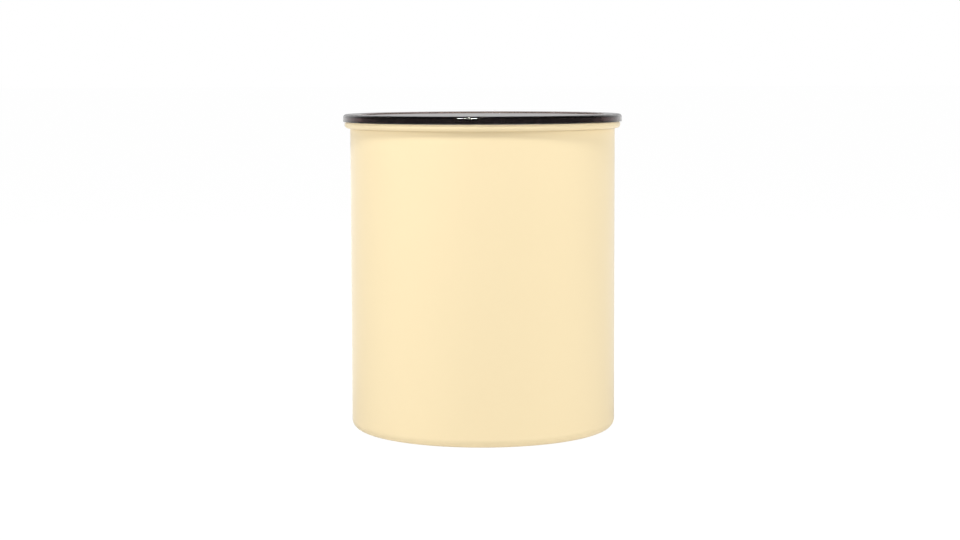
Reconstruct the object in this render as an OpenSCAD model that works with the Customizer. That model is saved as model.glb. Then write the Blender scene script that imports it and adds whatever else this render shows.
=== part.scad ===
// Coffee canister with a press-down inner lid and an air valve.
// The steel can stands on its pressed base with its axis on Z. The clear lid rests on the rolled
// rim. Inside, the press lid wipes the wall with its seal and slides down onto the beans. Its
// handle turns an off-centre cam: folded flat, the cam holds the valve shut, and raised, it lets
// the spring lift the valve so that air can pass.

/* [Can] */
// Outer diameter of the can's body
body_d = 169; // [140:1:190]
// Height from the ground to the top of the clear lid
total_h = 201; // [185:1:260]
// Thickness of the can's steel sheet
sheet_t = 0.8; // [0.6:0.1:1]
// Radius of the can's bottom corner
base_corner_r = 5.5; // [4:0.5:8]
// Width of the flat ring that the can stands on
stand_ring_w = 9; // [5:1:14]
// Height that the middle of the base is pressed up
base_push_h = 2; // [1:0.5:3]
// Width of the rolled rim's section
curl_w = 4.4; // [3.8:0.2:5]
// Height of the rolled rim's section
curl_h = 3.8; // [3.4:0.2:4.6]

/* [Clear lid] */
// Height of the lid's visible edge
lid_edge_h = 4.8; // [4.4:0.2:8]
// How far the lid stands out past the rolled rim
lid_overhang = 0.9; // [0.4:0.1:1.4]
// How far the lid's edge hangs below the top of the rolled rim
lid_lip_h = 0.4; // [0.4:0.1:0.8]
// Width of the raised rim round the lid's top
lid_rim_w = 11; // [8:0.5:14]
// Depth of the lid's sunk panel below its rim
lid_recess_h = 0.6; // [0.6:0.2:2]
// Thickness of the lid's panel
lid_panel_t = 3.6; // [2:0.2:4]
// Radius of the lid's top outer edge
lid_round_r = 2; // [1:0.25:2.5]
// Rounding of the clear lid's lower edge
lip_round_r = 0.3; // [0.2:0.1:0.5]
// Depth that the lid's plug ring reaches into the can
plug_depth = 8.5; // [7.5:0.5:14]

/* [Press lid] */
// Height of the press lid's underside above the ground
press_z = 118; // [40:1:120]
// Height of the press lid's pan
pan_h = 33; // [33:1:36]
// Wall thickness of the pan
pan_wall_t = 2; // [1.6:0.2:2.6]
// Floor thickness of the pan
pan_floor_t = 2.4; // [2:0.2:3]
// Number of stiffening ribs on the pan's floor
rib_count = 12; // [8:4:20]
// Height of the stiffening ribs
rib_h = 3.6; // [2:0.2:5]
// Diameter of the valve's air holes
vent_d = 2.2; // [1.6:0.2:2.6]

/* [Valve] */
// Outer diameter of the valve hub
hub_d = 39; // [38:1:42]
// Wall thickness of the hub
hub_wall_t = 2.5; // [2:0.25:2.5]
// Diameter of the silicone valve disc
disc_d = 27; // [26:0.5:28]
// Thickness of the silicone valve disc
disc_t = 1.6; // [1.2:0.2:2]
// Diameter of the plunger's stem
stem_d = 6; // [5:0.5:6]
// Length of the spring while the valve is shut
spring_shut_h = 5; // [4.5:0.25:6]
// Wire diameter of the spring
spring_wire_d = 0.7; // [0.6:0.1:0.8]
// Number of the spring's turns
spring_turns = 3; // [2:1:3]

/* [Handle] */
// Radius of the handle's bow, at the middle of its bar
bow_r = 44; // [38:1:45]
// Width of the handle's bar
bar_w = 8; // [6:0.5:9]
// Thickness of the handle's bar
bar_t = 5; // [4:0.5:6]
// Diameter of the cam shaft
shaft_d = 6; // [5:0.5:6]
// Diameter of the round cam
cam_d = 10; // [9.5:0.5:11]
// Distance between the cam's centre and the shaft's
cam_offset = 1.4; // [1:0.1:1.5]
// Width of the cam
cam_w = 12; // [8:1:14]

/* [Hidden] */
$fn = 96;
// Clearances
seal_gap = 0.2; // silicone lip to the can's wall
seat_gap = 0.1; // parts that rest on each other across a joint
run_gap = 0.08; // a shaft in its bearing, on the radius
fit_gap = 0.05; // pieces that are pushed together
cam_gap = 0.15; // cam to the plunger's cap
arc_step = 10; // degrees between the points of a section's arcs
sunk = 0.2; // depth that one solid reaches into the next where they are joined
over = 1; // length that a cut runs past the face it opens

// Can
body_r = body_d / 2;
mouth_r = body_r - sheet_t;
curl_r = curl_w / 2;
curl_flat = curl_h / curl_w; // the curl's section is a little wider than high
curl_cr = mouth_r + curl_r;
can_h = total_h - lid_edge_h + lid_lip_h;
curl_cz = can_h - curl_h / 2;
curl_end_a = -110; // the curl stops short of the wall here
base_flat_r = body_r - base_corner_r;
base_inner_r = base_flat_r - stand_ring_w;
base_slope_w = 2 * base_push_h;
base_top_z = base_push_h + sheet_t;

// Clear lid
lid_r = curl_cr + curl_r + lid_overhang;
lid_in_r = lid_r - lid_rim_w;
lid_edge_z = total_h - lid_edge_h;
lid_soft_r = 0.25;
lid_land_z = can_h + seat_gap;
lip_gap = 0.3;
lip_in_r = curl_cr + curl_r * sqrt(1 - pow(1 - 2 * lid_lip_h / curl_h, 2)) + lip_gap;
panel_top_z = total_h - lid_recess_h;
panel_low_z = panel_top_z - lid_panel_t;
plug_back = 1.2; // plug ring to the can's wall
plug_r = mouth_r - plug_back;
plug_z = can_h - plug_depth;
plug_lead = 0.8;
groove_depth = 1.8;
groove_r = plug_r - groove_depth;
groove_h = 3.4;
groove_z = curl_cz - groove_h; // the seal bears on the top of the straight wall

// Press lid, measured up from its underside
pan_r = mouth_r - 4.7;
pan_in_r = pan_r - pan_wall_t;
pan_flange_r = mouth_r - 0.7;
pan_flange_t = 1.8;
pan_corner_r = 3;
channel_r = mouth_r - 1.5;
channel_lip_t = 1.8;
channel_h = 4.4;
channel_top_z = channel_lip_t + channel_h;
ring_in_r = disc_d / 2 - 2.9;
ring_w = 1.4;
ring_h = 1;
ring_top_z = pan_floor_t + ring_h;
vent_rings = [[6, 0.42], [12, 0.78]]; // number of holes, and their circle as a share of the ring
rib_t = 1.6;
rib_in = 10.5; // hub to the ribs' inner ends
hoop_share = 0.58; // the hoop's place between hub and pan wall
hoop_r = hub_d / 2 + hoop_share * (pan_in_r - hub_d / 2);
hoop_h = rib_h * 0.7;
press_drop = press_z - base_top_z - 0.5;

// Valve, measured up from the press lid's underside
disc_z = ring_top_z + fit_gap;
flange_t = 1.6;
flange_z = disc_z + disc_t;
flange_top_z = flange_z + flange_t;
stem_r = stem_d / 2;
nose_r = 2.5;
nose_head_r = 3.6;
nose_head_t = 0.8;
cam_r = cam_d / 2;
valve_lift = cam_offset * sqrt(2);
shelf_z = flange_top_z + valve_lift + 0.4;
shelf_t = 1.6;
spring_z = shelf_z + shelf_t;
guide_wall_t = 1.9;
guide_h = spring_shut_h / 2;
cap_z = spring_z + spring_shut_h;
cap_t = 2;
cap_r = 8;
cap_top_z = cap_z + cap_t;
spigot_r = 2;
spigot_h = 1.4;
axis_z = cap_top_z + cam_gap + cam_r + cam_offset / sqrt(2);
spring_mean_r = (stem_r + guide_wall_t + cap_r) / 2;

// Hub
hub_r = hub_d / 2;
hub_in_r = hub_r - hub_wall_t;
hub_top_t = 1.6;
hub_top_z = axis_z + cam_r + cam_offset + 0.3 + hub_top_t;
hub_round_r = 1.2;
block_l = 6.5; // length of each bearing block along the shaft
block_x = hub_r - block_l;
block_wall_t = 2.5;
block_w = shaft_d + 2 * block_wall_t;
shaft_r = shaft_d / 2;
bearing_r = shaft_r + run_gap;
window_w = 7;
window_sill = 0.8;
window_h = shelf_z - pan_floor_t - window_sill - 0.6;
post_y = hub_in_r - 4;
post_r = 3;
lug_r = 4;
lug_t = 3;
lug_out = 5.2; // hub's wall to the lugs' screws
lug_place_r = hub_r + lug_out;
boss_r = 3.5;
boss_h = 3.6;
lug_z = pan_floor_t + boss_h;

// Screws
screw_r = 1.1;
screw_head_r = 2.4;
screw_head_h = 1.5;
lug_screw_len = 6.4;
post_screw_len = 9;
post_bore_l = 7;
boss_bore_l = 4.6;
bore_gap = 0.02; // screw to the plastic that it cuts its thread in
pass_gap = 0.2; // screw to a hole that it passes through
drive_w = 0.7;
drive_depth = 0.8;

// Handle
shaft_end_w = shaft_d * 0.66;
shaft_end_l = 5;
shaft_round_x = hub_r + 0.4;
ear_x = hub_r + 0.8; // inner face of the handle's bosses
ear_t = 6.2;
ear_r = shaft_r + 3;
knuckle_h = bar_t * 0.8; // round end where the bow meets its side bar
ear_wall_t = ear_t - (shaft_round_x + shaft_end_l + fit_gap - ear_x);

// Points on an arc of a section, from angle a0 to angle a1, squashed in height by the factor flat
function arc(centre, r, a0, a1, flat = 1) =
    let (steps = max(2, ceil(abs(a1 - a0) / arc_step)))
    [for (i = [0:steps])
        let (a = a0 + (a1 - a0) * i / steps)
        centre + r * [cos(a), flat * sin(a)]];

// Moves a piece of the press lid up to where the press lid stands
module at_press_lid() {
    translate([0, 0, press_z]) children();
}

// A copy at each corner of the four-screw pattern
module at_lugs() {
    for (a = [45:90:315]) rotate([0, 0, a]) translate([lug_place_r, 0, 0]) children();
}

// A copy at each of the hub's two screw posts
module at_posts() {
    for (side = [-1, 1]) translate([0, side * post_y, 0]) children();
}

// The can's sheet: pressed base, rounded corner, straight wall and rolled rim
module canister_shell() {
    outside = concat(
        [[0, base_push_h], [base_inner_r - base_slope_w, base_push_h], [base_inner_r, 0]],
        arc([base_flat_r, base_corner_r], base_corner_r, -90, 0));
    inside = concat(
        arc([base_flat_r, base_corner_r], base_corner_r - sheet_t, 0, -90),
        [[base_inner_r + 0.3, sheet_t], [base_inner_r - base_slope_w + 0.3, base_top_z],
         [0, base_top_z]]);
    curl_in_r = curl_r - sheet_t;
    curl = concat(
        arc([curl_cr, curl_cz], curl_in_r, 180, curl_end_a, (curl_h / 2 - sheet_t) / curl_in_r),
        arc([curl_cr, curl_cz], curl_r, curl_end_a, 180, curl_flat));
    color("#fbe9c0") rotate_extrude() polygon(concat(outside, curl, inside));
}

// The smoke-tinted lid: sunk panel, thick rim, short lip over the curl and a plug ring below
module clear_lid() {
    top = concat(
        [[0, panel_top_z]],
        arc([lid_in_r - lid_soft_r, panel_top_z + lid_soft_r], lid_soft_r, -90, 0),
        arc([lid_in_r + lid_soft_r, total_h - lid_soft_r], lid_soft_r, 180, 90),
        arc([lid_r - lid_round_r, total_h - lid_round_r], lid_round_r, 90, 0));
    lip = concat(
        arc([lid_r - lip_round_r, lid_edge_z + lip_round_r], lip_round_r, 0, -90),
        [[lip_in_r, lid_edge_z], [lip_in_r, lid_land_z], [plug_r, lid_land_z]]);
    plug = [[plug_r, groove_z + groove_h], [groove_r, groove_z + groove_h], [groove_r, groove_z],
            [plug_r, groove_z], [plug_r, plug_z + plug_lead], [plug_r - plug_lead, plug_z],
            [lid_in_r, plug_z], [lid_in_r, panel_low_z], [0, panel_low_z]];
    color("#4a4040", 0.6) rotate_extrude() polygon(concat(top, lip, plug));
}

// The lid's silicone ring: a root in the plug's groove and two soft fins
module lid_seal() {
    root_r = groove_r + fit_gap;
    low = groove_z + fit_gap;
    high = groove_z + groove_h - fit_gap;
    tip_r = mouth_r - seal_gap;
    fin_t = 0.5;
    color("#2b2a2a") rotate_extrude()
        polygon([[root_r, low], [plug_r, low], [tip_r, low + fin_t], [tip_r, low + 2 * fin_t],
                 [plug_r, low + 3 * fin_t], [plug_r, high - 2 * fin_t],
                 [tip_r, high - fin_t], [tip_r, high], [plug_r, high], [root_r, high]]);
}

// The press lid's pan: floor, wall, guide flange and the channel for its wiper seal
module press_lid() {
    outer = concat(
        [[0, 0], [channel_r - 0.6, 0], [channel_r, 0.6], [channel_r, channel_lip_t],
         [pan_r, channel_lip_t], [pan_r, channel_top_z], [channel_r, channel_top_z],
         [channel_r, channel_top_z + channel_lip_t], [pan_r, channel_top_z + channel_lip_t],
         [pan_r, pan_h - pan_flange_t], [pan_flange_r, pan_h - pan_flange_t]],
        arc([pan_flange_r - 0.8, pan_h - 0.8], 0.8, 0, 90));
    inner = concat(
        arc([pan_in_r + 0.8, pan_h - 0.8], 0.8, 90, 180),
        arc([pan_in_r - pan_corner_r, pan_floor_t + pan_corner_r], pan_corner_r, 0, -90),
        [[0, pan_floor_t]]);
    rib_start = hub_r + rib_in;
    color("#262525") at_press_lid() difference() {
        union() {
            rotate_extrude() polygon(concat(outer, inner));
            translate([0, 0, pan_floor_t]) valve_ring();
            for (i = [0:rib_count - 1]) rotate([0, 0, 360 * (i + 0.5) / rib_count])
                translate([rib_start, -rib_t / 2, pan_floor_t - sunk])
                    cube([pan_in_r - rib_start + 2 * sunk, rib_t, rib_h + sunk]);
            translate([0, 0, pan_floor_t - sunk]) hoop(hoop_r, rib_t, hoop_h + sunk);
            at_lugs() translate([0, 0, pan_floor_t - sunk]) cylinder(r = boss_r, h = boss_h + sunk);
        }
        vents();
        at_lugs() translate([0, 0, lug_z - boss_bore_l])
            cylinder(r = screw_r + bore_gap, h = boss_bore_l + over);
    }
}

// A plain ring of that middle radius, wall and height
module hoop(r, wall, h) {
    difference() {
        cylinder(r = r + wall / 2, h = h);
        translate([0, 0, -over]) cylinder(r = r - wall / 2, h = h + 2 * over);
    }
}

// The raised ring that the silicone disc shuts on, with a narrowed top
module valve_ring() {
    rotate_extrude()
        polygon([[ring_in_r, -sunk], [ring_in_r + ring_w, -sunk], [ring_in_r + ring_w, ring_h / 2],
                 [ring_in_r + ring_w - 0.4, ring_h], [ring_in_r + 0.4, ring_h],
                 [ring_in_r, ring_h / 2]]);
}

// The air holes in the pan's floor, small enough to hold the beans back
module vents() {
    for (ring = vent_rings, i = [0:ring[0] - 1])
        rotate([0, 0, 360 * i / ring[0]]) translate([ring_in_r * ring[1], 0, -over])
            cylinder(d = vent_d, h = pan_floor_t + 2 * over, $fn = 24);
}

// The silicone ring in the press lid's channel, with a lip down and a lip up
module wiper_seal() {
    root_r = pan_r + fit_gap;
    low = channel_lip_t + fit_gap;
    high = channel_top_z - fit_gap;
    neck_r = channel_r + 0.1;
    tip_r = mouth_r - seal_gap;
    color("#2b2a2a") at_press_lid() rotate_extrude()
        polygon([[root_r, low], [neck_r, low], [tip_r, low - 0.8], [tip_r, low - 0.1],
                 [neck_r, low + 1.3], [neck_r, high - 1.3], [tip_r, high + 0.1],
                 [tip_r, high + 0.8], [neck_r, high], [root_r, high]]);
}

// Blocks that carry the shaft on both sides of the hub, between two heights
module bearing_blocks(low, high) {
    intersection() {
        translate([0, 0, low]) cylinder(r = hub_r - 0.5, h = high - low);
        for (side = [-1, 1])
            translate([side * (block_x + hub_r) / 2 - (hub_r - block_x) / 2, -block_w / 2, low])
                cube([hub_r - block_x, block_w, high - low]);
    }
}

// The shaft's bearing, right across the hub
module bearing_bore() {
    translate([0, 0, axis_z]) rotate([0, 90, 0]) cylinder(r = bearing_r, h = 3 * hub_r, center = true);
}

// The lower half of the hub: air windows, spring shelf with its guide, lugs and half bearings
module valve_hub() {
    split_z = axis_z - fit_gap;
    color("#2e2d2d") at_press_lid() difference() {
        union() {
            difference() {
                translate([0, 0, pan_floor_t]) cylinder(r = hub_r, h = split_z - pan_floor_t);
                translate([0, 0, pan_floor_t - over]) cylinder(r = hub_in_r, h = split_z);
            }
            translate([0, 0, shelf_z]) cylinder(r = hub_in_r + sunk, h = shelf_t);
            translate([0, 0, shelf_z]) cylinder(r = stem_r + guide_wall_t, h = shelf_t + guide_h);
            bearing_blocks(shelf_z + sunk, split_z);
            at_posts() translate([0, 0, shelf_z + sunk])
                cylinder(r = post_r, h = split_z - shelf_z - sunk);
            at_lugs() lug();
        }
        bearing_bore();
        for (a = [0:90:270]) rotate([0, 0, a])
            translate([hub_in_r - over, -window_w / 2, pan_floor_t + window_sill])
                cube([hub_wall_t + 2 * over, window_w, window_h]);
        translate([0, 0, shelf_z - over])
            cylinder(r = stem_r + run_gap, h = shelf_t + guide_h + 2 * over);
        at_posts() translate([0, 0, split_z - post_bore_l])
            cylinder(r = screw_r + bore_gap, h = post_bore_l + over);
        at_lugs() translate([0, 0, lug_z - over]) cylinder(r = screw_r + pass_gap, h = lug_t + 2 * over);
    }
}

// One screw lug on the hub's foot, standing on its boss
module lug() {
    translate([0, 0, lug_z]) {
        cylinder(r = lug_r, h = lug_t);
        translate([hub_r - over - lug_place_r, -lug_r, 0]) cube([lug_out + over, 2 * lug_r, lug_t]);
    }
}

// The upper half of the hub: a cap over the cam, with the other half of the bearings
module hub_cover() {
    split_z = axis_z + fit_gap;
    shell = concat(
        [[hub_in_r, split_z], [hub_r, split_z]],
        arc([hub_r - hub_round_r, hub_top_z - hub_round_r], hub_round_r, 0, 90),
        [[0, hub_top_z], [0, hub_top_z - hub_top_t], [hub_in_r, hub_top_z - hub_top_t]]);
    inner_top_z = hub_top_z - hub_top_t + sunk;
    color("#2e2d2d") at_press_lid() difference() {
        union() {
            rotate_extrude() polygon(shell);
            bearing_blocks(split_z, inner_top_z);
            at_posts() translate([0, 0, split_z]) cylinder(r = post_r, h = inner_top_z - split_z);
        }
        bearing_bore();
        at_posts() translate([0, 0, split_z - over]) cylinder(r = screw_r + pass_gap, h = hub_top_z);
        at_posts() translate([0, 0, hub_top_z - screw_head_h])
            cylinder(r = screw_head_r + pass_gap, h = screw_head_h + over);
    }
}

// The steel shaft with its round cam set off centre, and squared ends for the handle
module cam_shaft() {
    color("#c9c9cc") at_press_lid() translate([0, 0, axis_z]) {
        rotate([0, 90, 0]) cylinder(r = shaft_r, h = 2 * shaft_round_x, center = true);
        rotate([45, 0, 0]) translate([0, -cam_offset, 0]) rotate([0, 90, 0])
            cylinder(r = cam_r, h = cam_w, center = true);
        for (side = [-1, 1])
            translate([side * (shaft_round_x + (shaft_end_l - sunk) / 2), 0, 0])
                cube([shaft_end_l + sunk, shaft_end_w, shaft_end_w], center = true);
    }
}

// The handle's bar in section: a flat bar with round edges
module bar_section() {
    square([bar_w - bar_t, bar_t], center = true);
    for (side = [-1, 1]) translate([side * (bar_w - bar_t) / 2, 0]) circle(d = bar_t, $fn = 48);
}

// The folding handle: a half-round bow whose two bosses sit on the shaft's squared ends
module handle() {
    socket_w = shaft_end_w + 2 * fit_gap;
    color("#262525") at_press_lid() translate([0, 0, axis_z]) difference() {
        union() {
            rotate([0, 0, 180]) rotate_extrude(angle = 180) translate([bow_r, 0]) bar_section();
            for (side = [-1, 1]) {
                translate([side * (ear_x + ear_t / 2), 0, 0]) rotate([0, 90, 0])
                    cylinder(r = ear_r, h = ear_t, center = true);
                translate([side * (ear_x + ear_t / 2), 0, 0]) rotate([0, side * 90, 0])
                    cylinder(d = bar_t, h = bow_r - ear_x - ear_t / 2);
                translate([side * bow_r, 0, 0]) cylinder(d = bar_w, h = knuckle_h, center = true);
            }
        }
        for (side = [-1, 1]) translate([side * (ear_x + ear_t - ear_wall_t) / 2, 0, 0])
            cube([ear_x + ear_t - ear_wall_t, socket_w, socket_w], center = true);
    }
}

// The plunger: a flange that backs the silicone disc, a stem up the guide and a nose through the disc
module valve_plunger() {
    color("#d8d6d0") at_press_lid() {
        translate([0, 0, flange_z]) cylinder(d = disc_d - 2, h = flange_t);
        translate([0, 0, flange_z]) cylinder(r = stem_r, h = cap_z - flange_z);
        translate([0, 0, cap_z - sunk]) cylinder(r = spigot_r, h = spigot_h + sunk);
        translate([0, 0, disc_z - fit_gap]) cylinder(r = nose_r, h = disc_t + 2 * fit_gap);
        translate([0, 0, disc_z - fit_gap - nose_head_t])
            cylinder(r1 = nose_r, r2 = nose_head_r, h = nose_head_t);
    }
}

// The silicone disc that shuts on the valve ring
module valve_disc() {
    color("#b9b4aa") at_press_lid() translate([0, 0, disc_z]) difference() {
        cylinder(d = disc_d, h = disc_t);
        translate([0, 0, -over]) cylinder(r = nose_r + fit_gap, h = disc_t + 2 * over);
    }
}

// The cap on the plunger's stem, which the cam presses and the spring lifts
module plunger_cap() {
    color("#d8d6d0") at_press_lid() translate([0, 0, cap_z]) difference() {
        rotate_extrude()
            polygon([[0, 0], [cap_r, 0], [cap_r, cap_t - 0.5], [cap_r - 0.5, cap_t], [0, cap_t]]);
        translate([0, 0, -over]) cylinder(r = spigot_r + fit_gap, h = spigot_h + fit_gap + over);
    }
}

// The spring: one unbroken wire of spring_turns, swept along its own points
spring_sides = 6;
spring_rings = 16; // a turn
spring_n = spring_turns * spring_rings;
spring_rise = spring_shut_h - spring_wire_d - 2 * fit_gap;
spring_low_z = spring_z + spring_wire_d / 2 + fit_gap;
function spring_at(i) =
    [spring_mean_r * cos(360 * i / spring_rings), spring_mean_r * sin(360 * i / spring_rings),
     spring_low_z + spring_rise * i / spring_n];
function spring_ring(i) =
    let (c = spring_at(i), a = 360 * i / spring_rings, out = [cos(a), sin(a), 0])
    [for (k = [0:spring_sides - 1])
        c + spring_wire_d / 2 * (cos(360 * k / spring_sides) * out
                                 + sin(360 * k / spring_sides) * [0, 0, 1])];
module valve_spring() {
    points = [for (i = [0:spring_n]) each spring_ring(i)];
    sides = [for (i = [0:spring_n - 1], k = [0:spring_sides - 1])
        let (a = i * spring_sides + k, b = i * spring_sides + (k + 1) % spring_sides)
        each [[a, b, a + spring_sides], [b, b + spring_sides, a + spring_sides]]];
    last = spring_n * spring_sides;
    ends = [for (k = [1:spring_sides - 2]) each [[0, k + 1, k], [last, last + k, last + k + 1]]];
    color("#c9c9cc") at_press_lid() polyhedron(points, concat(sides, ends));
}
spring_gap = min([for (i = [0:spring_n - spring_rings / 2], j = [i + spring_rings / 2:spring_n])
    norm(spring_at(j) - spring_at(i))]) - spring_wire_d;
echo(spring_least_gap_mm = spring_gap);

// A small screw standing on z 0, head up, with a cross in its head
module screw(length) {
    difference() {
        union() {
            translate([0, 0, -length]) cylinder(r = screw_r, h = length + sunk, $fn = 32);
            rotate_extrude()
                polygon([[0, 0], [screw_head_r, 0], [screw_head_r, screw_head_h * 0.45],
                         [screw_head_r * 0.6, screw_head_h], [0, screw_head_h]]);
        }
        for (a = [0, 90]) rotate([0, 0, a]) translate([0, 0, screw_head_h])
            cube([screw_head_r * 1.1, drive_w, 2 * drive_depth], center = true);
    }
}

// The four screws that hold the hub's lugs to the pan
module hub_screws() {
    color("#c9c9cc") at_press_lid() at_lugs() translate([0, 0, lug_z + lug_t]) screw(lug_screw_len);
}

// The two screws that hold the cover to the hub's posts
module cover_screws() {
    color("#c9c9cc") at_press_lid() at_posts() translate([0, 0, hub_top_z - screw_head_h])
        screw(post_screw_len);
}

canister_shell();
clear_lid();
lid_seal();
press_lid();
wiper_seal();
valve_hub();
hub_cover();
cam_shaft();
handle();
valve_plunger();
valve_disc();
plunger_cap();
valve_spring();
hub_screws();
cover_screws();
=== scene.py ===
# %% [markdown]
# A coffee canister with a press-down inner lid. The steel can is turned from one section, so most
# of this lesson draws an outline point by point and spins it about the can's axis. The packed
# model gives every size: each piece below is measured from it and lies on it, in metres, with
# the ground at z = 0 and the front towards -Y.

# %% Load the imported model
import math

import bpy
from mathutils import Matrix, Vector


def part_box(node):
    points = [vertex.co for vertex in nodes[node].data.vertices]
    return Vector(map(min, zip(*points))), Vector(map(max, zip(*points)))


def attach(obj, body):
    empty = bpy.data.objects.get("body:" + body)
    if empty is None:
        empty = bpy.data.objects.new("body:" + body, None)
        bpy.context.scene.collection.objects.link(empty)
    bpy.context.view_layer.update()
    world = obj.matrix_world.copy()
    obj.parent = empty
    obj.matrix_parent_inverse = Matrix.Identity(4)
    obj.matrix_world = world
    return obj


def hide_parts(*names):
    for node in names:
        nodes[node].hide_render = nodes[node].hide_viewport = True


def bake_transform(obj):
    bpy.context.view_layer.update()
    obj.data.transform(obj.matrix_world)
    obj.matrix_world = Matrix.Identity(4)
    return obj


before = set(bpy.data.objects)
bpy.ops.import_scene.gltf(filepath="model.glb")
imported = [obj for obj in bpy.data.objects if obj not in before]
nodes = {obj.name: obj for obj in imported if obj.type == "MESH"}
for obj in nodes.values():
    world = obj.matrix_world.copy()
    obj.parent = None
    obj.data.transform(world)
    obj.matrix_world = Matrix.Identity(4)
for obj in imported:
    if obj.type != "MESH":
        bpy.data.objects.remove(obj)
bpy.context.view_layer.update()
print("pieces in the packed model:", len(nodes))

# %% [markdown]
# The camera stands in front of the can and a little above its lid, far away with a long lens, so
# that the can's sides stay nearly upright. Its place, tilt and small shift were found by fitting
# the can's known sizes to the outline in the photograph.

# %% Camera
SENSOR_W = 36.0
LENS_MM = 73.29
CAMERA_BACK = 1.2529
CAMERA_UP = 0.22515
CAMERA_DOWN_DEG = 4.276
CAMERA_ROLL = -0.00273


def add_camera():
    data = bpy.data.cameras.new("camera")
    data.sensor_width = SENSOR_W
    data.lens = LENS_MM
    data.shift_x = -0.00284
    data.shift_y = -0.05
    camera = bpy.data.objects.new("camera", data)
    bpy.context.scene.collection.objects.link(camera)
    tilt = Matrix.Rotation(math.radians(90 - CAMERA_DOWN_DEG), 4, "X")
    roll = Matrix.Rotation(CAMERA_ROLL, 4, "Z")
    camera.matrix_world = Matrix.Translation((0, -CAMERA_BACK, CAMERA_UP)) @ tilt @ roll
    bpy.context.scene.camera = camera
    return camera


print("camera at", tuple(round(v, 3) for v in add_camera().matrix_world.translation))

# %% [markdown]
# The studio is a pale floor under a white surround, with a key box in front on the left, a low
# fill box on each side and one behind. The surround is white where the camera or the clear lid looks through to
# it, and gives less light than that to matt surfaces, so that the cream shows at the strength it
# is written. In reflections it is brightest behind the can on both sides, grey straight behind it
# and darkest in front, where the camera and the room are.

# %% World and lamps
SURROUND_LIGHT = 0.42
REFLECTED_IN_FRONT = 0.08
REFLECTED_BEHIND = 0.52
REFLECTED_BEHIND_SIDES = 1.0
LAMPS = {
    # name: (azimuth from the front, elevation, distance, width, height, power, only in reflections)
    "key": (-12, 55, 1.5, 0.36, 0.3, 12.2, False),
    "key_glint": (-15, 50, 1.5, 0.35, 0.3, 19.0, True),
    "fill_left": (-73, 18, 1.5, 0.5, 0.35, 4.8, False),
    "fill_right": (80, 18, 1.5, 0.5, 0.35, 6.4, False),
    "back": (180, 30, 1.5, 0.5, 0.4, 8.0, False),
}


def fade_between(tree, source, low, high, low_value, high_value):
    fade = tree.nodes.new("ShaderNodeMapRange")
    fade.interpolation_type = "SMOOTHSTEP"
    fade.inputs["From Min"].default_value = low
    fade.inputs["From Max"].default_value = high
    fade.inputs["To Min"].default_value = low_value
    fade.inputs["To Max"].default_value = high_value
    tree.links.new(source, fade.inputs["Value"])
    return fade


def reflected_light(tree, direction):
    apart = tree.nodes.new("ShaderNodeSeparateXYZ")
    tree.links.new(direction, apart.inputs["Vector"])
    aside = tree.nodes.new("ShaderNodeMath")
    aside.operation = "ABSOLUTE"
    tree.links.new(apart.outputs["X"], aside.inputs[0])
    behind = fade_between(
        tree, aside.outputs["Value"], 0.1, 0.35, REFLECTED_BEHIND, REFLECTED_BEHIND_SIDES)
    depth = fade_between(tree, apart.outputs["Y"], 0.35, 0.95, REFLECTED_IN_FRONT, 1.0)
    tree.links.new(behind.outputs["Result"], depth.inputs["To Max"])
    return depth.outputs["Result"]


def build_world():
    world = bpy.data.worlds.new("studio")
    bpy.context.scene.world = world
    world.use_nodes = True
    tree = world.node_tree
    tree.nodes.clear()
    path = tree.nodes.new("ShaderNodeLightPath")
    seen = tree.nodes.new("ShaderNodeMath")
    seen.operation = "MAXIMUM"
    tree.links.new(path.outputs["Is Camera Ray"], seen.inputs[0])
    tree.links.new(path.outputs["Is Transmission Ray"], seen.inputs[1])
    strength = tree.nodes.new("ShaderNodeMix")
    strength.inputs["A"].default_value = SURROUND_LIGHT
    direction = tree.nodes.new("ShaderNodeTexCoord")
    tree.links.new(reflected_light(tree, direction.outputs["Generated"]), strength.inputs["B"])
    tree.links.new(path.outputs["Is Glossy Ray"], strength.inputs["Factor"])
    white = tree.nodes.new("ShaderNodeMix")
    white.inputs["B"].default_value = 1.0
    tree.links.new(seen.outputs["Value"], white.inputs["Factor"])
    tree.links.new(strength.outputs["Result"], white.inputs["A"])
    background = tree.nodes.new("ShaderNodeBackground")
    background.inputs["Color"].default_value = (1, 1, 1, 1)
    tree.links.new(white.outputs["Result"], background.inputs["Strength"])
    output = tree.nodes.new("ShaderNodeOutputWorld")
    tree.links.new(background.outputs["Background"], output.inputs["Surface"])


def add_lamp(name, azimuth, elevation, distance, width, height, power, glint):
    data = bpy.data.lights.new(name, "AREA")
    data.shape = "RECTANGLE"
    data.size = width
    data.size_y = height
    data.energy = power
    lamp = bpy.data.objects.new(name, data)
    lamp.visible_glossy = glint
    lamp.visible_diffuse = not glint
    bpy.context.scene.collection.objects.link(lamp)
    side = math.radians(azimuth)
    up = math.radians(elevation)
    aim = Vector((0, 0, 0.15))
    place = aim + distance * Vector(
        (math.sin(side) * math.cos(up), -math.cos(side) * math.cos(up), math.sin(up)))
    turn = (aim - place).to_track_quat("-Z", "Y").to_matrix().to_4x4()
    lamp.matrix_world = Matrix.Translation(place) @ turn
    return lamp


bpy.context.scene.view_settings.view_transform = "Standard"
build_world()
for lamp_name, lamp_values in LAMPS.items():
    add_lamp(lamp_name, *lamp_values)
print("lamps:", ", ".join(LAMPS))

# %% [markdown]
# The floor is a pale light table. To the camera it is mostly its own white, mixed with a little of
# its lit surface, so that it meets the white surround with no edge and still keeps a soft shadow.
# Half of what it sends up to the can is its own light too, which keeps the bottom corner bright.

# %% Floor
FLOOR_SIZE = 80.0
FLOOR_SELF_WHITE = 0.96
FLOOR_LIT_SHARE = 0.08
FLOOR_GLOW = 0.66
FLOOR_PALE = 0.33


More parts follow.
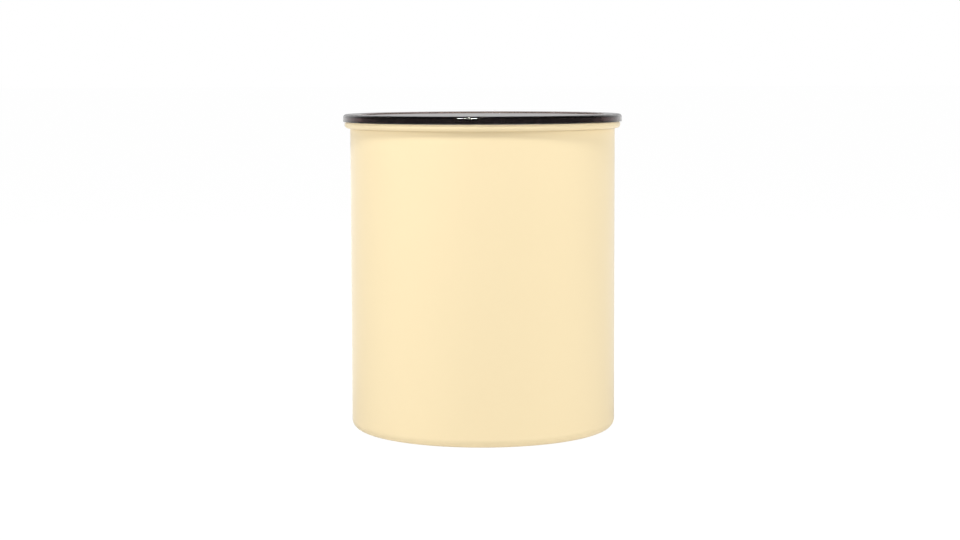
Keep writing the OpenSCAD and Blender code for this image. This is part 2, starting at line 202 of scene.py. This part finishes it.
def floor_material():
    material = bpy.data.materials.new("pale_floor")
    material.use_nodes = True
    tree = material.node_tree
    tree.nodes.clear()
    path = tree.nodes.new("ShaderNodeLightPath")
    seen = tree.nodes.new("ShaderNodeMath")
    seen.operation = "MAXIMUM"
    tree.links.new(path.outputs["Is Camera Ray"], seen.inputs[0])
    tree.links.new(path.outputs["Is Transmission Ray"], seen.inputs[1])
    around = tree.nodes.new("ShaderNodeMix")
    around.inputs["A"].default_value = FLOOR_GLOW
    place = tree.nodes.new("ShaderNodeTexCoord")
    outward = tree.nodes.new("ShaderNodeVectorMath")
    outward.operation = "NORMALIZE"
    tree.links.new(place.outputs["Object"], outward.inputs[0])
    tree.links.new(reflected_light(tree, outward.outputs["Vector"]), around.inputs["B"])
    tree.links.new(path.outputs["Is Glossy Ray"], around.inputs["Factor"])
    white = tree.nodes.new("ShaderNodeMix")
    white.inputs["B"].default_value = FLOOR_SELF_WHITE
    tree.links.new(around.outputs["Result"], white.inputs["A"])
    tree.links.new(seen.outputs["Value"], white.inputs["Factor"])
    glow = tree.nodes.new("ShaderNodeEmission")
    tree.links.new(white.outputs["Result"], glow.inputs["Strength"])
    faint = tree.nodes.new("ShaderNodeMath")
    faint.operation = "MAXIMUM"
    tree.links.new(seen.outputs["Value"], faint.inputs[0])
    tree.links.new(path.outputs["Is Glossy Ray"], faint.inputs[1])
    shade = tree.nodes.new("ShaderNodeMix")
    shade.data_type = "RGBA"
    shade.inputs["A"].default_value = (FLOOR_PALE, FLOOR_PALE, FLOOR_PALE, 1)
    shade.inputs["B"].default_value = (FLOOR_LIT_SHARE, FLOOR_LIT_SHARE, FLOOR_LIT_SHARE, 1)
    tree.links.new(faint.outputs["Value"], shade.inputs["Factor"])
    sheet = tree.nodes.new("ShaderNodeBsdfDiffuse")
    tree.links.new(shade.outputs["Result"], sheet.inputs["Color"])
    both = tree.nodes.new("ShaderNodeAddShader")
    tree.links.new(sheet.outputs["BSDF"], both.inputs[0])
    tree.links.new(glow.outputs["Emission"], both.inputs[1])
    output = tree.nodes.new("ShaderNodeOutputMaterial")
    tree.links.new(both.outputs["Shader"], output.inputs["Surface"])
    return material


bpy.ops.object.select_all(action="DESELECT")
bpy.ops.mesh.primitive_plane_add(size=FLOOR_SIZE)
floor = bpy.context.object
floor.name = "floor"
floor.data.materials.append(floor_material())
print("floor:", FLOOR_SIZE, "m across")

# %% [markdown]
# Several finishes share two effects. The grain group turns noise at a given size into a small
# height for the Bump node, as a powder coat's orange peel or a mould's spark-eroded skin. The
# turned lines group draws fine rings round the can's axis, as a polishing belt leaves on steel
# that spins.

# %% Shared finish groups


def new_group(name, inputs, outputs):
    group = bpy.data.node_groups.new(name, "ShaderNodeTree")
    for socket_name, kind, value in inputs:
        socket = group.interface.new_socket(name=socket_name, in_out="INPUT", socket_type=kind)
        socket.default_value = value
    for socket_name, kind in outputs:
        group.interface.new_socket(name=socket_name, in_out="OUTPUT", socket_type=kind)
    entry = group.nodes.new("NodeGroupInput")
    leave = group.nodes.new("NodeGroupOutput")
    return group, entry, leave


def grain_group():
    group, entry, leave = new_group(
        "surface_grain",
        [("Scale", "NodeSocketFloat", 900.0), ("Detail", "NodeSocketFloat", 3.0)],
        [("Height", "NodeSocketFloat"), ("Cloud", "NodeSocketFloat")])
    place = group.nodes.new("ShaderNodeTexCoord")
    fine = group.nodes.new("ShaderNodeTexNoise")
    group.links.new(place.outputs["Object"], fine.inputs["Vector"])
    group.links.new(entry.outputs["Scale"], fine.inputs["Scale"])
    group.links.new(entry.outputs["Detail"], fine.inputs["Detail"])
    cloud = group.nodes.new("ShaderNodeTexNoise")
    cloud.inputs["Scale"].default_value = 14.0
    group.links.new(place.outputs["Object"], cloud.inputs["Vector"])
    group.links.new(fine.outputs["Fac"], leave.inputs["Height"])
    group.links.new(cloud.outputs["Fac"], leave.inputs["Cloud"])
    return group


def turned_lines_group():
    group, entry, leave = new_group(
        "turned_lines",
        [("Lines", "NodeSocketFloat", 2600.0)],
        [("Lines", "NodeSocketFloat")])
    place = group.nodes.new("ShaderNodeTexCoord")
    apart = group.nodes.new("ShaderNodeSeparateXYZ")
    group.links.new(place.outputs["Object"], apart.inputs["Vector"])
    round_it = group.nodes.new("ShaderNodeMath")
    round_it.operation = "ARCTAN2"
    group.links.new(apart.outputs["Y"], round_it.inputs[0])
    group.links.new(apart.outputs["X"], round_it.inputs[1])
    outward = group.nodes.new("ShaderNodeVectorMath")
    outward.operation = "LENGTH"
    flat = group.nodes.new("ShaderNodeVectorMath")
    flat.operation = "MULTIPLY"
    flat.inputs[1].default_value = (1, 1, 0)
    group.links.new(place.outputs["Object"], flat.inputs[0])
    group.links.new(flat.outputs["Vector"], outward.inputs[0])
    ring = group.nodes.new("ShaderNodeMath")
    ring.operation = "MULTIPLY_ADD"
    group.links.new(outward.outputs["Value"], ring.inputs[0])
    ring.inputs[1].default_value = 1.0
    group.links.new(apart.outputs["Z"], ring.inputs[2])
    across = group.nodes.new("ShaderNodeMath")
    across.operation = "MULTIPLY"
    group.links.new(ring.outputs["Value"], across.inputs[0])
    group.links.new(entry.outputs["Lines"], across.inputs[1])
    along = group.nodes.new("ShaderNodeCombineXYZ")
    group.links.new(round_it.outputs["Value"], along.inputs["X"])
    group.links.new(across.outputs["Value"], along.inputs["Y"])
    noise = group.nodes.new("ShaderNodeTexNoise")
    noise.inputs["Scale"].default_value = 1.0
    noise.inputs["Detail"].default_value = 2.0
    group.links.new(along.outputs["Vector"], noise.inputs["Vector"])
    group.links.new(noise.outputs["Fac"], leave.inputs["Lines"])
    return group


grain = grain_group()
turned_lines = turned_lines_group()
print("groups:", grain.name, turned_lines.name)

# %% [markdown]
# Each finish is one Principled shader with plain values on its sockets, plus the groups above for
# what changes over the surface. A helper starts a material, and another runs a group's height
# into the shader's normal.

# %% Finish helpers


def new_finish(name, color, roughness, **sockets):
    material = bpy.data.materials.new(name)
    material.use_nodes = True
    shader = material.node_tree.nodes["Principled BSDF"]
    shader.inputs["Base Color"].default_value = (*color, 1)
    shader.inputs["Roughness"].default_value = roughness
    for socket_name, value in sockets.items():
        shader.inputs[socket_name.replace("_", " ").title().replace("Ior", "IOR")].default_value = value
    return material, material.node_tree, shader


def add_grain(tree, shader, scale, depth, detail=3.0):
    source = tree.nodes.new("ShaderNodeGroup")
    source.node_tree = grain
    source.inputs["Scale"].default_value = scale
    source.inputs["Detail"].default_value = detail
    bump = tree.nodes.new("ShaderNodeBump")
    bump.inputs["Distance"].default_value = depth
    tree.links.new(source.outputs["Height"], bump.inputs["Height"])
    tree.links.new(bump.outputs["Normal"], shader.inputs["Normal"])
    return source


def vary(tree, source, target, low, high):
    spread = tree.nodes.new("ShaderNodeMapRange")
    spread.inputs["From Min"].default_value = 0.3
    spread.inputs["From Max"].default_value = 0.7
    spread.inputs["To Min"].default_value = low
    spread.inputs["To Max"].default_value = high
    tree.links.new(source, spread.inputs["Value"])
    tree.links.new(spread.outputs["Result"], target)


# %% [markdown]
# The outside of the can is a cream powder coat: a thick matt paint with a very fine orange peel.
# The same sheet is bare stainless steel inside, with the fine rings that polishing leaves.

# %% Can finishes
CREAM = (0.93, 0.77, 0.48)


def cream_powder_coat():
    material, tree, shader = new_finish(
        "cream_powder_coat", CREAM, 0.42, sheen_weight=0.4, sheen_roughness=0.3)
    source = add_grain(tree, shader, 1500.0, 0.00002)
    vary(tree, source.outputs["Cloud"], shader.inputs["Roughness"], 0.38, 0.46)
    return material


def polished_steel():
    material, tree, shader = new_finish("polished_steel", (0.72, 0.71, 0.69), 0.34, metallic=1.0)
    lines = tree.nodes.new("ShaderNodeGroup")
    lines.node_tree = turned_lines
    vary(tree, lines.outputs["Lines"], shader.inputs["Roughness"], 0.28, 0.44)
    bump = tree.nodes.new("ShaderNodeBump")
    bump.inputs["Distance"].default_value = 0.00001
    tree.links.new(lines.outputs["Lines"], bump.inputs["Height"])
    tree.links.new(bump.outputs["Normal"], shader.inputs["Normal"])
    return material


cream = cream_powder_coat()
steel = polished_steel()
print("can finishes:", cream.name, steel.name)

# %% [markdown]
# A turned piece starts as a small plane merged to one point. The point is extruded along the
# section, one edge at a time, and the section is spun about the can's axis. Doubles are merged
# where the spin meets itself and where the section touches the axis.

# %% Turning a section
SPIN_STEPS = 192
HOLD = 0.0001
MERGE = 1e-6


def arc(centre, radius, start_deg, end_deg, step_deg=10, flat=1.0):
    steps = max(2, math.ceil(abs(end_deg - start_deg) / step_deg))
    angles = [math.radians(start_deg + (end_deg - start_deg) * i / steps) for i in range(steps + 1)]
    return [(centre[0] + radius * math.cos(a), centre[1] + radius * flat * math.sin(a)) for a in angles]


def held(section):
    points = [section[0]]
    for before, after in zip(section, section[1:]):
        length = math.dist(before, after)
        if length > 4 * HOLD:
            for share in (HOLD / length, 1 - HOLD / length):
                points.append(tuple(a + (b - a) * share for a, b in zip(before, after)))
        points.append(after)
    return points


def turned(name, section, closed=False, steps=SPIN_STEPS):
    if closed:
        section = held(section + section[:1])[:-1]
    else:
        section = held(section)
    bpy.ops.object.select_all(action="DESELECT")
    bpy.ops.mesh.primitive_plane_add(size=0.01)
    piece = bpy.context.object
    piece.name = name
    bpy.ops.object.mode_set(mode="EDIT")
    bpy.ops.mesh.merge(type="CENTER")
    bpy.ops.transform.translate(value=(section[0][0], 0, section[0][1]))
    for before, after in zip(section, section[1:]):
        step = (after[0] - before[0], 0, after[1] - before[1])
        bpy.ops.mesh.extrude_vertices_move(TRANSFORM_OT_translate={"value": step})
    bpy.ops.mesh.select_all(action="SELECT")
    if closed:
        close_section(piece, len(section))
    bpy.ops.mesh.spin(steps=steps, angle=2 * math.pi, center=(0, 0, 0), axis=(0, 0, 1))
    bpy.ops.mesh.select_all(action="SELECT")
    bpy.ops.mesh.remove_doubles(threshold=MERGE)
    bpy.ops.mesh.normals_make_consistent(inside=False)
    bpy.ops.object.mode_set(mode="OBJECT")
    bpy.ops.object.shade_smooth_by_angle(angle=math.radians(32))
    print(name, "faces:", len(piece.data.polygons))
    return piece


def close_section(piece, count):
    bpy.ops.mesh.select_all(action="DESELECT")
    bpy.ops.object.mode_set(mode="OBJECT")
    piece.data.vertices[0].select = True
    piece.data.vertices[count - 1].select = True
    bpy.ops.object.mode_set(mode="EDIT")
    bpy.ops.mesh.edge_face_add()
    bpy.ops.mesh.select_all(action="SELECT")


# %% [markdown]
# The can is one drawn sheet. Its section runs from the middle of the pressed base, out along the
# stand ring, round the bottom corner, up the wall and over the rolled rim, then back down inside
# at the sheet's thickness. The rim's curl is left open underneath, as the rolling tool leaves it.

# %% Can shell
can_low, can_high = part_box("canister_shell")
SHEET = 0.0008
BODY_R = 0.0845
CORNER_R = 0.0055
CURL_R = 0.0022
CURL_HALF_H = 0.00225
SEAL_DROP = 0.0019
BASE_PUSH = 0.002
STAND_RING_W = 0.009
can_top = can_high.z
mouth_r = BODY_R - SHEET


def can_section():
    flat_r = BODY_R - CORNER_R
    ring_r = flat_r - STAND_RING_W
    slope = 2 * BASE_PUSH
    curl = (mouth_r + CURL_R, can_top - CURL_HALF_H)
    curl_in = CURL_R - SHEET
    in_flat = (CURL_HALF_H - SHEET) / curl_in
    outside = [(0, BASE_PUSH), (ring_r - slope, BASE_PUSH), (ring_r, 0)]
    outside += arc((flat_r, CORNER_R), CORNER_R, -90, 0)
    rim = arc(curl, curl_in, 180, -110, flat=in_flat)
    rim += arc(curl, CURL_R, -110, 180, flat=CURL_HALF_H / CURL_R)
    inside = arc((flat_r, CORNER_R), CORNER_R - SHEET, 0, -90)
    inside += [(ring_r + 0.0003, SHEET), (ring_r - slope + 0.0003, BASE_PUSH + SHEET), (0, BASE_PUSH + SHEET)]
    return outside + rim + inside


can_shell = turned("can_shell", can_section())
can_shell.data.materials.append(cream)
can_shell.data.materials.append(steel)
for face in can_shell.data.polygons:
    reach = Vector((face.center.x, face.center.y))
    inward = reach.normalized().dot(Vector((face.normal.x, face.normal.y)))
    below_rim = face.center.z < can_top - CURL_HALF_H and reach.length < mouth_r + MERGE
    on_floor = reach.length < BODY_R - CORNER_R and face.normal.z > 0.5
    if below_rim and (inward < -0.1 or on_floor):
        face.material_index = 1
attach(can_shell, "canister")
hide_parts("canister_shell")

# %% [markdown]
# The clear lid is moulded from smoke-tinted plastic. Its tint is in its depth: a thin wall is
# nearly clear and a long way through it is dark, which is what Volume Absorption does. Its
# surface is a plain transmissive Principled shader.

# %% Smoke plastic
SMOKE = (0.36, 0.24, 0.24)
SMOKE_DENSITY = 130.0


def smoke_plastic():
    material, tree, shader = new_finish(
        "smoke_plastic", (1, 1, 1), 0.03, transmission_weight=1.0, ior=1.52)
    depth = tree.nodes.new("ShaderNodeVolumeAbsorption")
    depth.inputs["Color"].default_value = (*SMOKE, 1)
    depth.inputs["Density"].default_value = SMOKE_DENSITY
    output = tree.nodes["Material Output"]
    tree.links.new(depth.outputs["Volume"], output.inputs["Volume"])
    return material


# The seat's black finish is painted shade. It darkens the faces under the lid's land and inside its lip, where
# the clear lip would otherwise show the bright curl.
def painted_shade_seat():
    material, tree, shader = new_finish("painted_shade_seat", (0.012, 0.011, 0.011), 0.5)
    add_grain(tree, shader, 1200.0, 0.00001)
    return material


smoke = smoke_plastic()
print("lid finish:", smoke.name)

# %% [markdown]
# The lid's section goes from the middle of its sunk panel over the raised rim, down the outer
# edge, up to the land that rests on the curl, and down the plug ring that drops into the can.

# %% Clear lid
lid_low, lid_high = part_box("clear_lid")
lid_r = lid_high.x
lid_top = lid_high.z
plug_low = lid_low.z
LID_RIM_W = 0.011
LID_EDGE_H = 0.0048
LID_RECESS = 0.0006
LID_PANEL = 0.0036
LID_ROUND = 0.002
LID_SOFT = 0.00025
LID_LIP_W = 0.00145
LIP_ROUND = 0.0001
PLUG_BACK = 0.0012
GROOVE_DEPTH = 0.0018
GROOVE_H = 0.0034
LEAD = 0.0008
PANEL_JOINT = 0.00004
SEAT_GAP = 0.0001
lid_in_r = lid_r - LID_RIM_W


def ring_section():
    edge = lid_top - LID_EDGE_H
    land = can_top + SEAT_GAP
    lip = lid_r - LID_LIP_W
    plug_r = mouth_r - PLUG_BACK
    groove_r = plug_r - GROOVE_DEPTH
    groove = can_top - SEAL_DROP - GROOVE_H
    points = arc((lid_in_r + LID_SOFT, lid_top - LID_SOFT), LID_SOFT, 180, 90)
    points += arc((lid_r - LID_ROUND, lid_top - LID_ROUND), LID_ROUND, 90, 0)
    points += arc((lid_r - LIP_ROUND, edge + LIP_ROUND), LIP_ROUND, 0, -90, 30)
    points += [(lip, edge), (lip, land), (plug_r, land)]
    points += [(plug_r, groove + GROOVE_H), (groove_r, groove + GROOVE_H), (groove_r, groove)]
    points += [(plug_r, groove), (plug_r, plug_low + LEAD), (plug_r - LEAD, plug_low)]
    points += [(lid_in_r, plug_low)]
    return points


def panel_section():
    edge_r = lid_in_r - PANEL_JOINT
    high = lid_top - LID_RECESS
    low = high - LID_PANEL
    return [(0, high), (edge_r, high), (edge_r, low), (0, low)]


lid_ring = turned("lid_ring", ring_section(), closed=True)
lid_panel = turned("lid_panel", panel_section())
for lid_piece in (lid_ring, lid_panel):
    lid_piece.data.materials.append(smoke)
    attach(lid_piece, "clear_lid")
    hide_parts("clear_lid")
# Painted shade: the faces under the land and inside the lip take the black finish, so the lid's lower edge
# looks dark.
lid_ring.data.materials.append(painted_shade_seat())
for face in lid_ring.data.polygons:
    reach = math.hypot(face.center.x, face.center.y)
    in_painted_shade = mouth_r - PLUG_BACK < reach < lid_r - LID_LIP_W + MERGE
    if in_painted_shade and lid_top - LID_EDGE_H < face.center.z < can_top + 2 * SEAT_GAP:
        face.material_index = 1

# %% [markdown]
# The inner lid's plastic is black with the even matt skin of a spark-eroded mould. The seals are
# softer and darker, and the valve's small pieces are undyed plastic, pale silicone and steel.

# %% Inner finishes


def black_plastic():
    material, tree, shader = new_finish("black_moulded_plastic", (0.02, 0.019, 0.019), 0.42)
    source = add_grain(tree, shader, 2600.0, 0.00003)
    vary(tree, source.outputs["Cloud"], shader.inputs["Roughness"], 0.38, 0.5)
    return material


def black_silicone():
    material, tree, shader = new_finish("black_silicone", (0.018, 0.018, 0.018), 0.58)
    source = add_grain(tree, shader, 900.0, 0.00002)
    vary(tree, source.outputs["Cloud"], shader.inputs["Roughness"], 0.52, 0.66)
    return material


def undyed_plastic():
    material, tree, shader = new_finish("undyed_plastic", (0.68, 0.66, 0.6), 0.4)
    source = add_grain(tree, shader, 1800.0, 0.00002)
    vary(tree, source.outputs["Cloud"], shader.inputs["Roughness"], 0.34, 0.46)
    return material


def pale_silicone():
    material, tree, shader = new_finish("pale_silicone", (0.52, 0.49, 0.44), 0.55)
    source = add_grain(tree, shader, 900.0, 0.00002)
    vary(tree, source.outputs["Cloud"], shader.inputs["Roughness"], 0.5, 0.62)
    return material


def bright_steel():
    material, tree, shader = new_finish("bright_steel", (0.66, 0.65, 0.64), 0.24, metallic=1.0)
    source = add_grain(tree, shader, 3000.0, 0.00001)
    vary(tree, source.outputs["Cloud"], shader.inputs["Roughness"], 0.18, 0.32)
    return material


black_skin = black_plastic()
black_rubber = black_silicone()
undyed = undyed_plastic()
pale_rubber = pale_silicone()
steel_bar = bright_steel()
print("inner finishes:", black_skin.name, black_rubber.name, undyed.name, pale_rubber.name, steel_bar.name)

# %% [markdown]
# Every finished piece gets its material, the body that it rides on and the solid of the imported model
# that it stands for. One helper says all three.

# %% Placing a piece


def place(piece, finish, body, node_name):
    piece.data.materials.append(finish)
    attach(piece, body)
    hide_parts(node_name)


# %% [markdown]
# The clear lid's seal is a silicone ring pushed into the plug ring's groove. Two thin fins reach
# out to the can's wall, and their tips are round, because a sharp tip would tear in the mould.

# %% Clear lid's seal
FIT = 0.00005
TIP_BACK = 0.0002
FIN_T = 0.0005
wall_tip_r = mouth_r - TIP_BACK


def lid_seal_section():
    plug_r = mouth_r - PLUG_BACK
    root_r = plug_r - GROOVE_DEPTH + FIT
    low = can_top - SEAL_DROP - GROOVE_H + FIT
    high = low + GROOVE_H - 2 * FIT
    half = FIN_T / 2
    points = [(root_r, low), (plug_r, low)]
    points += arc((wall_tip_r - half, low + 3 * half), half, -80, 80, 32)
    points += [(plug_r, low + 3 * FIN_T), (plug_r, high - 2 * FIN_T)]
    points += arc((wall_tip_r - half, high - half), half, -60, 90, 30)
    return points + [(plug_r, high), (root_r, high)]


place(turned("lid_seal_ring", lid_seal_section(), closed=True), black_rubber, "clear_lid", "lid_seal")

# %% [markdown]
# The press lid's wiper is a deeper silicone ring. One lip points down and one up, so that the
# lid wipes the wall both ways and holds its height by friction.

# %% Wiper seal
press_low, press_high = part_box("press_lid")
LIFT = press_low.z
CHANNEL_LIP = 0.0018
CHANNEL_TOP = 0.0062
WIPER_ROOT_BACK = 0.0047
WIPER_NECK_BACK = 0.0014
LIP_T = 0.0007


def wiper_section():
    root_r = mouth_r - WIPER_ROOT_BACK + FIT
    neck_r = mouth_r - WIPER_NECK_BACK
    low = LIFT + CHANNEL_LIP + FIT
    high = LIFT + CHANNEL_TOP - FIT
    half = LIP_T / 2
    points = [(root_r, low), (neck_r, low)]
    points += arc((wall_tip_r - half, low - 0.00045), half, -110, 50, 32)
    points += [(neck_r, low + 0.0013), (neck_r, high - 0.0013)]
    points += arc((wall_tip_r - half, high + 0.00045), half, -50, 110, 32)
    return points + [(neck_r, high), (root_r, high)]


place(turned("wiper_ring", wiper_section(), closed=True), black_rubber, "press_lid", "wiper_seal")

# %% [markdown]
# The moulded and machined pieces of the valve leave their tools with soft edges that catch the
# light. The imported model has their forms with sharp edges, so each starts as a copy of its mesh:
# doubles are merged, flat faces are joined into one, and a small bevel rounds the sharp edges and
# the inner corners alike. Weighted normals then keep the large flat faces looking flat.

# %% Softened copies
SHARP_DEG = 30.0
FLAT_DEG = 0.5


def softened(name, node_name, width, segments=2):
    piece = bpy.data.objects.new(name, nodes[node_name].data.copy())
    piece.data.materials.clear()
    bpy.context.scene.collection.objects.link(piece)
    bpy.ops.object.select_all(action="DESELECT")
    bpy.context.view_layer.objects.active = piece
    piece.select_set(True)
    bpy.ops.object.mode_set(mode="EDIT")
    bpy.ops.mesh.select_all(action="SELECT")
    bpy.ops.mesh.remove_doubles(threshold=MERGE)
    bpy.ops.mesh.dissolve_limited(angle_limit=math.radians(FLAT_DEG))
    bpy.ops.object.mode_set(mode="OBJECT")
    bevel = piece.modifiers.new("soft_edges", "BEVEL")
    bevel.width = width
    bevel.segments = segments
    bevel.limit_method = "ANGLE"
    bevel.angle_limit = math.radians(SHARP_DEG)
    bpy.ops.object.modifier_apply(modifier=bevel.name)
    bpy.ops.object.mode_set(mode="EDIT")
    bpy.ops.mesh.select_all(action="SELECT")
    bpy.ops.mesh.dissolve_degenerate(threshold=MERGE)
    bpy.ops.object.mode_set(mode="OBJECT")
    bpy.ops.object.shade_smooth_by_angle(angle=math.radians(SHARP_DEG))
    level = piece.modifiers.new("level_faces", "WEIGHTED_NORMAL")
    level.keep_sharp = True
    bpy.ops.object.modifier_apply(modifier=level.name)
    print(name, "faces:", len(piece.data.polygons))
    return piece


place(softened("press_pan", "press_lid", 0.0003), black_skin, "press_lid", "press_lid")
place(softened("hub_body", "valve_hub", 0.00025), black_skin, "press_lid", "valve_hub")
place(softened("hub_cap", "hub_cover", 0.00025), black_skin, "press_lid", "hub_cover")
place(softened("folding_bow", "handle", 0.0004), black_skin, "handle", "handle")
place(softened("cam_and_shaft", "cam_shaft", 0.0002), steel_bar, "handle", "cam_shaft")
place(softened("lug_screws", "hub_screws", 0.00008, 1), steel_bar, "press_lid", "hub_screws")
place(softened("cap_screws", "cover_screws", 0.00008, 1), steel_bar, "press_lid", "cover_screws")

# %% [markdown]
# The plunger, its silicone disc and its cap are small turned forms on the can's axis. The nose
# passes through the disc and holds it from below, the flange backs it, and the cap sits on the
# stem's spigot above the spring.

# %% Valve pieces
DISC_R = 0.0135
DISC_T = 0.0016
DISC_Z = LIFT + 0.00345
NOSE_R = 0.0025
NOSE_HEAD_R = 0.0036
NOSE_HEAD_T = 0.0008
STEM_R = 0.003
FLANGE_R = 0.0125
FLANGE_T = 0.0016
CAP_R = 0.008
SPIGOT_R = 0.002
SPIGOT_H = 0.0014
EDGE = 0.0003
cap_low, cap_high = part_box("plunger_cap")


def disc_section():
    top = DISC_Z + DISC_T
    bore_r = NOSE_R + FIT
    rim = arc((DISC_R - EDGE, DISC_Z + EDGE), EDGE, -90, 0, 30)
    rim += arc((DISC_R - EDGE, top - EDGE), EDGE, 0, 90, 30)
    return [(bore_r, DISC_Z)] + rim + [(bore_r, top)]


def plunger_section():
    flange = DISC_Z + DISC_T
    low = DISC_Z - FIT
    points = [(0, low - NOSE_HEAD_T), (NOSE_R, low - NOSE_HEAD_T), (NOSE_HEAD_R, low), (NOSE_R, low)]
    points += [(NOSE_R, flange), (FLANGE_R, flange)]
    points += arc((FLANGE_R - EDGE, flange + FLANGE_T - EDGE), EDGE, 0, 90, 30)
    points += [(STEM_R + EDGE, flange + FLANGE_T), (STEM_R, flange + FLANGE_T + EDGE)]
    points += [(STEM_R, cap_low.z), (SPIGOT_R, cap_low.z), (SPIGOT_R, cap_low.z + SPIGOT_H - EDGE)]
    return points + [(SPIGOT_R - EDGE, cap_low.z + SPIGOT_H), (0, cap_low.z + SPIGOT_H)]


def cap_section():
    bore_r = SPIGOT_R + FIT
    bore_top = cap_low.z + SPIGOT_H + FIT
    points = [(0, bore_top), (bore_r, bore_top), (bore_r, cap_low.z), (CAP_R - EDGE, cap_low.z)]
    points += [(CAP_R, cap_low.z + EDGE), (CAP_R, cap_high.z - 2 * EDGE)]
    points += arc((CAP_R - 2 * EDGE, cap_high.z - 2 * EDGE), 2 * EDGE, 0, 90, 30)
    return points + [(0, cap_high.z)]


place(turned("silicone_disc", disc_section(), True, 96), pale_rubber, "plunger", "valve_disc")
place(turned("stem_and_flange", plunger_section(), False, 96), undyed, "plunger", "valve_plunger")
place(turned("stem_cap", cap_section(), False, 96), undyed, "plunger", "plunger_cap")

# %% [markdown]
# The spring is one steel wire of three turns. A small circle is extruded round the axis step by
# step, and rises slowly at both ends and faster between them, as a spring with closed ends does.
# It stands on the hub's shelf below and carries the cap above, so it stretches between the two.

# %% Valve spring
WIRE_SIDES = 10
TURN_STEPS = 32
TURNS = 3
spring_low, spring_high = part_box("valve_spring")


def wire_height(share):
    return (share + 0.55 * math.sin(2 * math.pi * share) / (-2 * math.pi)) if 0 < share < 1 else share


def wound_spring(name):
    wire_r = 0.00035
    coil_r = spring_high.x - wire_r
    rise = spring_high.z - spring_low.z - 2 * wire_r
    steps = TURNS * TURN_STEPS
    bpy.ops.object.select_all(action="DESELECT")
    bpy.ops.mesh.primitive_circle_add(
        vertices=WIRE_SIDES, radius=wire_r, fill_type="NGON", rotation=(math.pi / 2, 0, 0),
        location=(coil_r, 0, spring_low.z + wire_r))
    piece = bpy.context.object
    piece.name = name
    bpy.ops.object.transform_apply(location=True, rotation=True)
    bpy.ops.object.mode_set(mode="EDIT")
    bpy.ops.mesh.select_all(action="SELECT")
    bpy.ops.mesh.duplicate()
    for i in range(steps):
        up = rise * (wire_height((i + 1) / steps) - wire_height(i / steps))
        bpy.ops.mesh.extrude_region_move(TRANSFORM_OT_translate={"value": (0, 0, up)})
        bpy.ops.transform.rotate(
            value=2 * math.pi / TURN_STEPS, orient_axis="Z", center_override=(0, 0, 0))
    bpy.ops.mesh.select_all(action="SELECT")
    bpy.ops.mesh.remove_doubles(threshold=MERGE)
    bpy.ops.mesh.normals_make_consistent(inside=False)
    bpy.ops.object.mode_set(mode="OBJECT")
    bpy.ops.object.shade_smooth_by_angle(angle=math.radians(50))
    print(name, "faces:", len(piece.data.polygons))
    return piece


spring = wound_spring("wound_spring")
spring.data.materials.append(steel_bar)
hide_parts("valve_spring")
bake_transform(spring)
